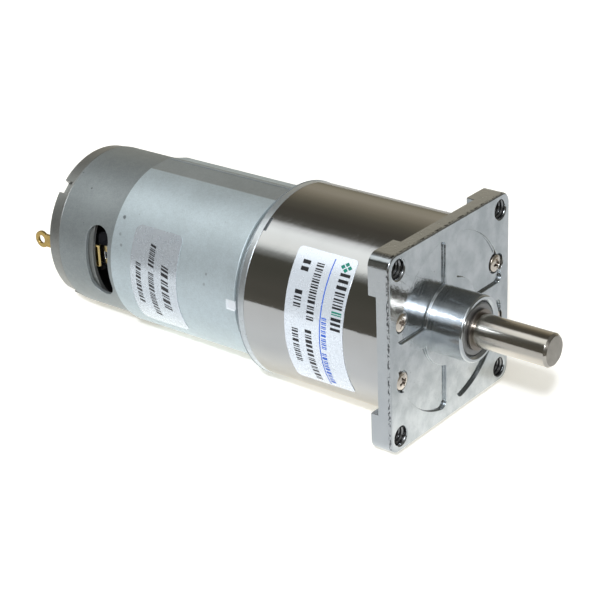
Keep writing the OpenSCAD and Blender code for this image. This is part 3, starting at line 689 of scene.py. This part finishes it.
# threads in the corner holes
bm = bmesh.new()
for cy in (-H, H):
    for cz in (-H, H):
        prev = None
        seg, pitch = 26, 0.7
        x0, x1 = -post + 0.25, -0.32
        n = int((x1 - x0) / pitch * seg)
        for i in range(n + 1):
            t = i / seg
            a = TAU * t + cy
            x = x0 + pitch * t
            e = min(1.0, i / 20, (n - i) / 20)
            rin = 1.98 - (1.98 - HR) * e
            q = []
            for dx, r in ((-0.33, 1.98), (-0.05, rin), (0.05, rin), (0.33, 1.98)):
                q.append(bm.verts.new(((x + dx) * MM, (cy + r * math.cos(a)) * MM, (cz + r * math.sin(a)) * MM)))
            if prev:
                for j in range(3):
                    bm.faces.new([prev[j], prev[j + 1], q[j + 1], q[j]])
                bm.faces.new([prev[3], prev[0], q[0], q[3]])
            else:
                bm.faces.new(q)
            prev = q
        bm.faces.new(list(reversed(prev)))
th = make("corner_threads", bm)
smooth(th, 40, False)
# the threads take the darkened metal as painted shade
put(th, HOLE_THREAD, "housing", "zinc_plated_casting")

# tube: drawn and plated, with soft edges and a keying notch at the back
wall = 0.9
prof = rounded([(t_lo[0], tube_r, 0.12), (t_hi[0], tube_r, 0.2), (t_hi[0], tube_r - wall, 0.1), (t_lo[0], tube_r - wall, 0.1)], 4)
tube = lathe("gearbox_tube_v", prof, 288)
a = math.radians(125.5)
c = prism("k", [(-1.63, -3), (1.63, -3), (1.63, 3), (-1.63, 3)], t_lo[0] - 1, t_lo[0] + 0.75)
c.matrix_world = Matrix.Translation(Vector((0, math.cos(a), math.sin(a))) * tube_r * MM) @ Matrix.Rotation(a - math.pi / 2, 4, "X")
cut(tube, c)
smooth(tube, 40)
put(tube, TUBE, "housing", "nickel_steel", "gearbox_tube")

# rear plate
rp = cad("gearbox_rear_plate", "rear_plate")
bevel(rp, 0.14, 2)
smooth(rp, 48)
put(rp, PLATE, "housing", "zinc_steel", "gearbox_rear_plate")


def screw_head(name, x, cy, cz, r, turn, sign=1, dome=0.12, body=None, h=0.85):
    """a cross-recessed head whose face looks along sign*X"""
    s = sign
    pts = [(x - s * h, 0, 0), (x - s * h, r, 0.05), (x - s * 0.22, r, 0.18), (x - s * 0.02, r * 0.72, 0.3), (x + s * dome * 0.5, r * 0.3, 0.3), (x + s * dome * 0.6, 0, 0)]
    if s < 0:
        pts = pts[::-1]
    o = lathe(name, rounded(pts, 3), 48, cy, cz)
    w, l = 0.34, r * 0.74
    k = 0.18
    out = []
    for q in range(4):
        ca, sa = math.cos(q * math.pi / 2 + turn), math.sin(q * math.pi / 2 + turn)
        for u, v in ((w + k, -w), (l * 0.9, -w * 0.85), (l, 0), (l * 0.9, w * 0.85), (w + k, w)):
            out.append((u * ca - v * sa, u * sa + v * ca))
    c = prism("c", out, x + s * 0.5, x - s * 0.8, 0.5, cy, cz)
    cut(o, c)
    bevel(o, 0.05, 2, 38)
    smooth(o, 45)
    return o


def join(name, obs):
    """one mesh from several, with their materials dropped"""
    bm = bmesh.new()
    for o in obs:
        bm.from_mesh(o.data)
        bpy.data.objects.remove(o)
    me = bpy.data.meshes.new(name)
    bm.to_mesh(me)
    bm.free()
    j = bpy.data.objects.new(name, me)
    bpy.context.scene.collection.objects.link(j)
    return j


heads = []
turns = {(-1, -1): 0.35, (-1, 1): 1.0, (1, 1): 0.15, (1, -1): 0.6}
for (a, b), t in turns.items():
    heads.append(screw_head("h", -0.16, a * 16.64, b * 6.28, 1.86, t, dome=0.42))
    shank = rounded([(-13, 0, 0), (-13, 1.15, 0.2), (-0.9, 1.15, 0), (-0.9, 0, 0)], 3)
    heads.append(lathe("s", shank, 32, a * 16.64, b * 6.28))
fs = join("flange_screws_v", heads)
smooth(fs, 45, False)
# faces in the cross recess and under the head take the dark metal: painted shade where little light gets in
def recess(c, n):
    d = min(hyp(c.y - a, c.z - b) for a in (-16.64, 16.64) for b in (-6.28, 6.28))
    return 1 if (d < 1.42 and -0.95 < c.x < -0.17 and n.x < 0.85) or (1.7 < d and c.x < -0.45) else 0


put(fs, [SCREW, SCREW_RECESS_SHADE], "housing", "screw_steel", "flange_screws", by=recess)

for node, mt, w in (("rear_plate_screws", SCREW, 0.04), ("motor_screws", SCREW, 0.04)):
    o = cad(node)
    bevel(o, w, 2, 38)
    smooth(o, 45)
    put(o, mt, "housing", "screw_steel", node)

fb = cad("front_bush", "front_bush_v")
bevel(fb, 0.12, 3)
smooth(fb, 45)
put(fb, BUSH, "housing", "sintered_bronze", "front_bush")

# output shaft, with its D flat
s_lo, s_hi = box("output_shaft")
sr = s_hi[1]
flat_len, flat = 12.0, sr - 0.6
gx0, gx1 = 6.38, 7.04
prof = rounded([(s_lo[0], 0, 0), (s_lo[0], sr - 0.3, 0.1), (s_lo[0] + 0.4, sr, 0.1), (gx0, sr, 0.05), (gx0, sr - 0.25, 0.04), (gx1, sr - 0.25, 0.04),
                (gx1, sr, 0.05), (s_hi[0] - 0.55, sr - 0.02, 0.12), (s_hi[0], sr - 0.5, 0.12), (s_hi[0], 0, 0)], 3)
sh = lathe("output_shaft_v", prof, 160)
ang = math.radians(-69)
c = prism("k", [(-8, 0), (8, 0), (8, 6), (-8, 6)], s_hi[0] - flat_len, s_hi[0] + 2)
c.matrix_world = Matrix.Rotation(ang - math.pi / 2, 4, "X") @ Matrix.Translation((0, 0, flat * MM))
cut(sh, c)
bevel(sh, 0.07, 2, 20, lambda p: 1.0 if p.x > s_hi[0] - flat_len - 0.2 and not (abs(hyp(p.y, p.z) - sr) < 0.001 and False) else 0.0)
smooth(sh, 40)
put(sh, [SHAFT, SHAFT_END], "output", "ground_steel", "output_shaft", by=lambda c, n: 1 if c.x > s_hi[0] - 0.05 and n.x > 0.9 else 0)

cl = cad("shaft_clip", "shaft_clip_v")
bevel(cl, 0.08, 2)
smooth(cl, 45)
put(cl, CLIP, "output", "spring_steel", "shaft_clip")

# ---------------------------------------------------------------- motor
mc = cad("motor_can", "motor_can_v")
bevel(mc, 0.16, 3, 32, lambda p: 1.0 if hyp(p.y, p.z) > 16.5 else 0.5)
smooth(mc, 40)
put(mc, CAN, "housing", "zinc_steel", "motor_can")

# the flux ring is rolled from strip: its last millimetres each side of the seam stay flat
q_lo, q_hi = box("flux_ring")
ro, ri = q_hi[1], q_hi[1] - 0.69
seam, gap, flat_a = 84.0, 0.75, 18.0


def ring_pt(a, r):
    return (r * math.cos(math.radians(a)), r * math.sin(math.radians(a)))


def flat_pt(a, side, lift):
    """point at angle a on the chord from the seam's end to where the curve starts"""
    p, q = Vector(ring_pt(seam + side * gap, ro + lift)), Vector(ring_pt(seam + side * flat_a, ro))
    t = (a - gap) / (flat_a - gap)
    return tuple(p.lerp(q, t))


nz = math.degrees(math.asin(1.05 / ro))
marks = [seam + gap + (flat_a - gap) * k / 6 for k in range(6)]
marks += [seam + flat_a + (180 - nz - seam - flat_a) * k / 46 for k in range(46)]
marks += [180 - nz + 2 * nz * k / 4 for k in range(4)]
marks += [180 + nz + (360 + seam - flat_a - 180 - nz) * k / 150 for k in range(151)]
marks += [360 + seam - flat_a + (flat_a - gap) * k / 6 for k in range(1, 7)]


def ring_out(a):
    if a < seam + flat_a:
        return flat_pt(a - seam, 1, 0.10)
    if a > 360 + seam - flat_a:
        return flat_pt(360 + seam - a, -1, 0.16)
    return ring_pt(a, ro)


bm = bmesh.new()
xa, xb, xc = q_lo[0], q_hi[0] - 2.1, q_hi[0]
made = {}


def rv(kind, i, x):
    key = (kind, i, x)
    if key not in made:
        a = marks[i]
        p = ring_out(a) if kind == "o" else ring_pt(a, ri if kind == "i" else ro - 0.3)
        made[key] = bm.verts.new((x * MM, p[0] * MM, p[1] * MM))
    return made[key]


n0, n1, last = 52, 56, len(marks) - 1
for i in range(last):
    notch = n0 <= i < n1
    bm.faces.new([rv("o", i, xa), rv("o", i, xb), rv("o", i + 1, xb), rv("o", i + 1, xa)])
    bm.faces.new([rv("i", i, xa), rv("i", i + 1, xa), rv("i", i + 1, xb), rv("i", i, xb)])
    bm.faces.new([rv("i", i, xb), rv("i", i + 1, xb), rv("i", i + 1, xc), rv("i", i, xc)])
    bm.faces.new([rv("o", i, xa), rv("o", i + 1, xa), rv("i", i + 1, xa), rv("i", i, xa)])
    t = "n" if notch else "o"
    bm.faces.new([rv(t, i, xb), rv(t, i, xc), rv(t, i + 1, xc), rv(t, i + 1, xb)])
    bm.faces.new([rv(t, i, xc), rv("i", i, xc), rv("i", i + 1, xc), rv(t, i + 1, xc)])
    if notch:
        bm.faces.new([rv("o", i, xb), rv("n", i, xb), rv("n", i + 1, xb), rv("o", i + 1, xb)])
for i in (n0, n1):
    bm.faces.new([rv("o", i, xb), rv("o", i, xc), rv("n", i, xc), rv("n", i, xb)])
for i in (0, last):
    for u, w in ((xa, xb), (xb, xc)):
        bm.faces.new([rv("o", i, u), rv("o", i, w), rv("i", i, w), rv("i", i, u)])
fr = make("flux_ring_v", bm)
bevel(fr, 0.17, 3, 40)
smooth(fr, 40, True)
bm = bmesh.new()
bm.from_mesh(fr.data)
for e in bm.edges:
    m_ = (e.verts[0].co + e.verts[1].co) / 2 * 1000
    d_ = (e.verts[1].co - e.verts[0].co).normalized()
    an = math.degrees(math.atan2(m_.z, m_.y))
    if abs(d_.x) > 0.9 and hyp(m_.y, m_.z) > ro - 0.05 and min(abs(an - seam - flat_a), abs(an - seam + flat_a)) < 0.4:
        e.smooth = False
bm.to_mesh(fr.data)
bm.free()
# the notch faces take the painted-highlight metal
put(fr, [RING, RING_NOTCH_HIGHLIGHT], "housing", "zinc_steel", "flux_ring",
    by=lambda c, n: 1 if c.x > q_hi[0] - 2.25 and c.y < -15 and abs(c.z) < 1.2 else 0)

rc = cad("rear_cap", "rear_cap_v")
bevel(rc, 0.16, 3, 32, lambda p: 1.0 if p.x < -91 else 0.4)
smooth(rc, 40)
put(rc, CAP, "housing", "zinc_steel", "rear_cap")

tm = cad("terminals", "terminals_v")
bevel(tm, 0.09, 2)
smooth(tm, 45)
# faces inside the slot take the lighter painted-light brass
put(tm, [BRASS, BRASS_PAINTED_LIGHT], "housing", "brass", "terminals", by=lambda c, n: 1 if c.x > -90.5 else 0)

bh = cad("brush_holders", "brush_holders_v")
bevel(bh, 0.12, 3)
smooth(bh, 45)
put(bh, TINNED, "housing", "brass", "brush_holders")

# ---------------------------------------------------------------- labels
def cells(poly, u0, u1, step):
    """flat polygon (u along the arc, v along X) cut into strips so that it bends well"""
    bm = bmesh.new()
    bm.faces.new([bm.verts.new((u, v, 0)) for u, v in poly])
    u = u0 + step
    while u < u1:
        bmesh.ops.bisect_plane(bm, geom=bm.verts[:] + bm.edges[:] + bm.faces[:], plane_co=(u, 0, 0), plane_no=(1, 0, 0))
        u += step
    return bm


def wrap(bm, R, a0, x0, skew, L, lift=0.0):
    """bend a flat mesh on to the cylinder R; u=0 at angle a0, v=0 at x0, sheared by skew over L"""
    for v in bm.verts:
        u, w, h = v.co
        r = R + lift + h
        a = math.radians(a0) + u / R
        v.co = Vector(((x0 + w + skew * u / L) * MM, r * math.cos(a) * MM, r * math.sin(a) * MM))


def rrect(u0, v0, u1, v1, r, n=6):
    pts = []
    for cu, cv, s in ((u1 - r, v0 + r, -90), (u1 - r, v1 - r, 0), (u0 + r, v1 - r, 90), (u0 + r, v0 + r, 180)):
        for i in range(n + 1):
            q = math.radians(s + 90 * i / n)
            pts.append((cu + r * math.cos(q), cv + r * math.sin(q)))
    return pts


def label(name, R, a0, x0, skew, L, W, corner, thick, mt, slot, node):
    bm = cells(rrect(0, 0, L, W, corner), 0, L, 0.4)
    g = bmesh.ops.extrude_face_region(bm, geom=bm.faces[:])
    for v in g["geom"]:
        if isinstance(v, bmesh.types.BMVert):
            v.co.z += thick
    wrap(bm, R, a0, x0, skew, L)
    o = make(name, bm)
    smooth(o, 40)
    return put(o, mt, "housing", slot, node)


def ink(name, marks, R, a0, x0, skew, L, lift, mt, slot):
    """marks: flat polygons in (u, v)"""
    out = bmesh.new()
    for poly in marks:
        us = [p[0] for p in poly]
        bm = cells(poly, min(us), max(us), 0.4)
        g = bmesh.ops.extrude_face_region(bm, geom=bm.faces[:])
        for v in g["geom"]:
            if isinstance(v, bmesh.types.BMVert):
                v.co.z += 0.008
        wrap(bm, R, a0, x0, skew, L, lift)
        me = bpy.data.meshes.new("t")
        bm.to_mesh(me)
        bm.free()
        out.from_mesh(me)
        bpy.data.meshes.remove(me)
    o = make(name, out)
    smooth(o, 40, False)
    return put(o, mt, "housing", slot)


def ticks(rnd, u0, u1, v0, v1, n, fat=0.5, slant=0.0):
    """a row of plain upright bars and blocks of print, with no letters"""
    res = []
    w = (u1 - u0) / n
    for i in range(n):
        a, b = u0 + i * w + w * 0.10, u0 + (i + 1) * w - w * 0.10
        k = rnd.random()
        cuts = [(0, 0.62 + 0.3 * rnd.random())] if k < 0.4 else [(0, 0.28), (0.5, 0.92)] if k < 0.8 else [(0.05, 0.42), (0.62, 0.86)]
        for p0, p1 in cuts:
            c0, c1 = a + (b - a) * p0, a + (b - a) * p1
            s1 = slant * (v1 - v0)
            res.append([(c0, v0), (c1, v0), (c1 - s1, v1), (c0 - s1, v1)])
    return res


# gearbox label
g_lo, g_hi = box("gearbox_label")
RL = tube_r + 0.02
LG = math.radians(214 - 132.4) * RL
gl = dict(R=RL, a0=132.4, x0=-26.15, skew=0.75, L=LG)
label("gearbox_label_v", RL, 132.4, -26.15, 0.75, LG, 14.35, 0.9, 0.08, WHITE, "white_label", "gearbox_label")
rnd = random.Random(4)
d2u = lambda a: math.radians(a - 132.4) * RL
black, green, blue = [], [], []
# four small diamonds
for du, dv in ((-0.62, 0), (0.62, 0), (0, -0.8), (0, 0.8)):
    cu, cv, s = d2u(137.9), 12.2, 0.52
    green.append([(cu + du, cv + dv - s * 1.1), (cu + du + s, cv + dv), (cu + du, cv + dv + s * 1.1), (cu + du - s, cv + dv)])
black += ticks(rnd, d2u(141), d2u(161.5), 11.35, 13.75, 6, 0.42, 0.0)
green += ticks(random.Random(2), d2u(161.9), d2u(165), 11.35, 13.75, 1, 0.5, 0.0)
black += ticks(rnd, d2u(165.4), d2u(173.8), 11.35, 13.75, 3, 0.42, 0.0)
blue.append([(d2u(134.9), 9.0), (d2u(213), 8.35), (d2u(213), 8.6), (d2u(134.9), 9.25)])
blue += ticks(rnd, d2u(167), d2u(186), 9.15, 10.35, 8, 0.4)
blue += ticks(rnd, d2u(188), d2u(211), 8.9, 10.1, 9, 0.4)
black += ticks(rnd, d2u(139), d2u(171.5), 5.4, 7.2, 11, 0.4, 0.0)
black += ticks(rnd, d2u(176.5), d2u(211.5), 5.15, 6.75, 12, 0.4, 0.0)
black += ticks(rnd, d2u(139), d2u(146.8), 2.05, 3.9, 2, 0.42)
black += ticks(rnd, d2u(155.8), d2u(166.2), 2.0, 3.8, 3, 0.42)
black += ticks(rnd, d2u(177.4), d2u(199.6), 1.85, 3.4, 7, 0.42)
ink("gearbox_label_print", black, lift=0.08, mt=INK, slot="white_label", **gl)
ink("gearbox_label_green", green, lift=0.08, mt=INK_G, slot="white_label", **gl)
ink("gearbox_label_blue", blue, lift=0.08, mt=INK_B, slot="white_label", **gl)

# can label
r_lo, r_hi = box("flux_ring")
RC = r_hi[1] + 0.02
LC = math.radians(218 - 145.2) * RC
cl_ = dict(R=RC, a0=145.2, x0=-69.2, skew=-0.5, L=LC)
label("can_label_v", RC, 145.2, -69.2, -0.5, LC, 13.05, 1.6, 0.08, SILVER, "silver_label", "can_label")
d2c = lambda a: math.radians(a - 145.2) * RC
rnd = random.Random(9)
black = ticks(rnd, d2c(166.5), d2c(199.0), 8.75, 10.75, 7, 0.42, -0.25)
black += ticks(rnd, d2c(155), d2c(170.5), 5.05, 6.65, 6, 0.42, -0.25)
black += ticks(rnd, d2c(173.5), d2c(208), 5.15, 6.7, 12, 0.36, -0.25)
black += ticks(rnd, d2c(169), d2c(199.5), 1.6, 3.0, 10, 0.42, -0.25)
ink("can_label_print", black, lift=0.08, mt=INK, slot="silver_label", **cl_)

# ---------------------------------------------------------------- CAD nodes that stay
KEEP = {
    "inner_bush": BRONZE, "gearbox_posts": GREY, "gear_pins": GREY, "pin_washer_a": GEAR, "pin_spacer_a": GEAR, "pin_spacer_b": GEAR,
    "pin_collar_b": GEAR, "output_gear": GEAR, "thrust_washer": SPRING, "gear_stage_1": BRASS, "gear_stage_2": GEAR, "gear_stage_3": GEAR,
    "gear_stage_4": GEAR, "brush_card": BLACK, "brushes": CARBON, "brush_springs": SPRING, "magnets": FERRITE, "magnet_clips": SPRING,
    "motor_front_bush": BRONZE, "motor_rear_bush": BRONZE, "rotor_shaft": GREY, "armature_core": LAM, "windings": COPPER, "commutator": COPPER,
    "motor_pinion": BRASS, "rotor_washers": FIBRE,
}
for n_, mt in KEEP.items():
    o = NODES[n_]
    if not o.material_slots:
        o.data.materials.append(mt)
    for s_ in o.material_slots:
        s_.material = mt

# ---------------------------------------------------------------- floor and light
FLOOR_GLOW = 0.42
tilt = Matrix.Rotation(0.0514, 4, "Y")
turn = Matrix.Rotation(math.atan2(0.6166, 0.7863), 4, "Z")
bm = bmesh.new()
nx, ny = 24, 24
u0, u1, v0, v1 = -0.150, 0.42, -0.083, 0.62
g = [[bm.verts.new((u0 + (u1 - u0) * i / nx, v0 + (v1 - v0) * j / ny, 0)) for j in range(ny + 1)] for i in range(nx + 1)]
for i in range(nx):
    for j in range(ny):
        bm.faces.new([g[i][j], g[i + 1][j], g[i + 1][j + 1], g[i][j + 1]])
floor = make("floor", bm)
floor.matrix_world = Matrix.Translation((-0.0384, 0, -0.02085)) @ tilt @ Matrix.Translation((0.0384, 0, 0)) @ turn
fm = Mat("floor_paper")
fc = fm.mix(fm.noise(0.02, 3, 0.5), (0.88, 0.875, 0.86), (0.90, 0.895, 0.88))
lpn = fm.n("LightPath")
rot = fm.n("VectorRotate", {"rotation_type": "Z_AXIS"})
fm.put(rot.inputs["Vector"], fm.coords())
rot.inputs["Angle"].default_value = math.atan2(0.6166, 0.7863)
fx, fy, fz = fm.xyz(rot.outputs[0])
# painted reflection: under the object the floor glows for glossy rays only, so the metal reflects it bright where it
# would be in shade
under = times(fm, fm.rng(fm.math("ABSOLUTE", fm.math("SUBTRACT", fy, 6.0)), 14.0, 34.0, 1.0, 0.0), fm.rng(fm.math("ABSOLUTE", fm.math("ADD", fx, 60.0)), 62.0, 90.0, 1.0, 0.0))
seen = fm.math("ADD", times(fm, lpn.outputs["Is Camera Ray"], FLOOR_GLOW), times(fm, times(fm, lpn.outputs["Is Glossy Ray"], under), 0.6))
floor.data.materials.append(fm.shade(Base_Color=fc, Roughness=0.6, Normal=fm.bump(fm.noise(2.0, 3, 0.5), 1.0, 0.004), Specular_IOR_Level=0.2,
                                     Emission_Color=(1.0, 0.96, 0.84), Emission_Strength=seen))

w = bpy.data.worlds.new("studio")
bpy.context.scene.world = w
w.use_nodes = True
W = Mat("w", w.node_tree)
d = W.n("TexCoord").outputs["Generated"]
dx, dy, dz = W.xyz(d)
phi = W.math("ARCTAN2", dz, dy)                       # -pi..pi about X, from +Y
p01 = W.math("ADD", W.math("DIVIDE", phi, TAU), 0.5)   # 0 at -180, .5 at +Y horizon, .75 overhead
at = lambda deg: (deg + 180) / 360
tan = (0.50, 0.46, 0.37)
env = W.ramp(p01, [
    (at(-179), (0.10, 0.095, 0.08)), (at(-60), (0.30, 0.28, 0.24)), (at(-12), (0.42, 0.40, 0.34)), (at(-3), (0.36, 0.34, 0.27)),
    (at(12), (0.50, 0.465, 0.375)), (at(24), (0.47, 0.43, 0.35)), (at(36), (0.33, 0.295, 0.23)), (at(48), (0.205, 0.185, 0.14)), (at(60), (0.125, 0.115, 0.09)),
    (at(72), (0.088, 0.08, 0.066)), (at(84), (0.09, 0.085, 0.072)), (at(91), (0.16, 0.155, 0.14)), (at(95.5), (0.95, 0.97, 0.98)), (at(104), (1.26, 1.30, 1.30)),
    (at(121), (1.16, 1.18, 1.16)), (at(126), (0.95, 0.98, 0.96)), (at(131), (0.32, 0.33, 0.32)), (at(138), (0.085, 0.083, 0.068)), (at(150), (0.082, 0.08, 0.066)),
    (at(170), (0.10, 0.095, 0.08))])
# the same studio seen towards +X, past the flange: dark, with a soft glow round the key light
ahead = W.ramp(p01, [
    (at(-179), (0.14, 0.135, 0.12)), (at(-60), (0.30, 0.28, 0.24)), (at(-12), (0.42, 0.40, 0.34)), (at(2), (0.20, 0.185, 0.15)),
    (at(25), (0.15, 0.145, 0.13)), (at(88), (0.17, 0.17, 0.165)), (at(104), (0.42, 0.42, 0.41)), (at(125), (0.42, 0.42, 0.41)), (at(160), (0.20, 0.20, 0.19)), (at(172), (0.13, 0.13, 0.12))])
env = W.mix(W.rng(dx, -0.1, 0.42), env, ahead)
nd = W.n("VectorMath", {"operation": "DOT_PRODUCT"})
W.put(nd.inputs[0], d)
nd.inputs[1].default_value = tuple(Vector((0.43, -0.68, 0.60)).normalized())
halo = W.rng(nd.outputs["Value"], math.cos(math.radians(25)), math.cos(math.radians(7)))
env = W.mix(W.math("MULTIPLY", halo, 0.9), env, (2.5, 2.6, 2.75))
bg = W.n("Background", Color=env, Strength=1.0)
white = W.n("Background", Color=(1.0, 1.0, 1.0), Strength=1.0)
lp = W.n("LightPath")
mx = W.n("MixShader", i0=lp.outputs["Is Camera Ray"], i1=bg.outputs[0], i2=white.outputs[0])
wo = W.n("OutputWorld")
W.t.links.new(mx.outputs[0], wo.inputs[0])

key = bpy.data.lights.new("key", "SUN")
key.energy = 2.1
key.angle = math.radians(4)
key.color = (0.95, 0.99, 1.06)
ko = bpy.data.objects.new("key", key)
bpy.context.scene.collection.objects.link(ko)
kd = Vector((0.42, -0.68, 0.60))
ko.rotation_euler = kd.to_track_quat("Z", "Y").to_euler()
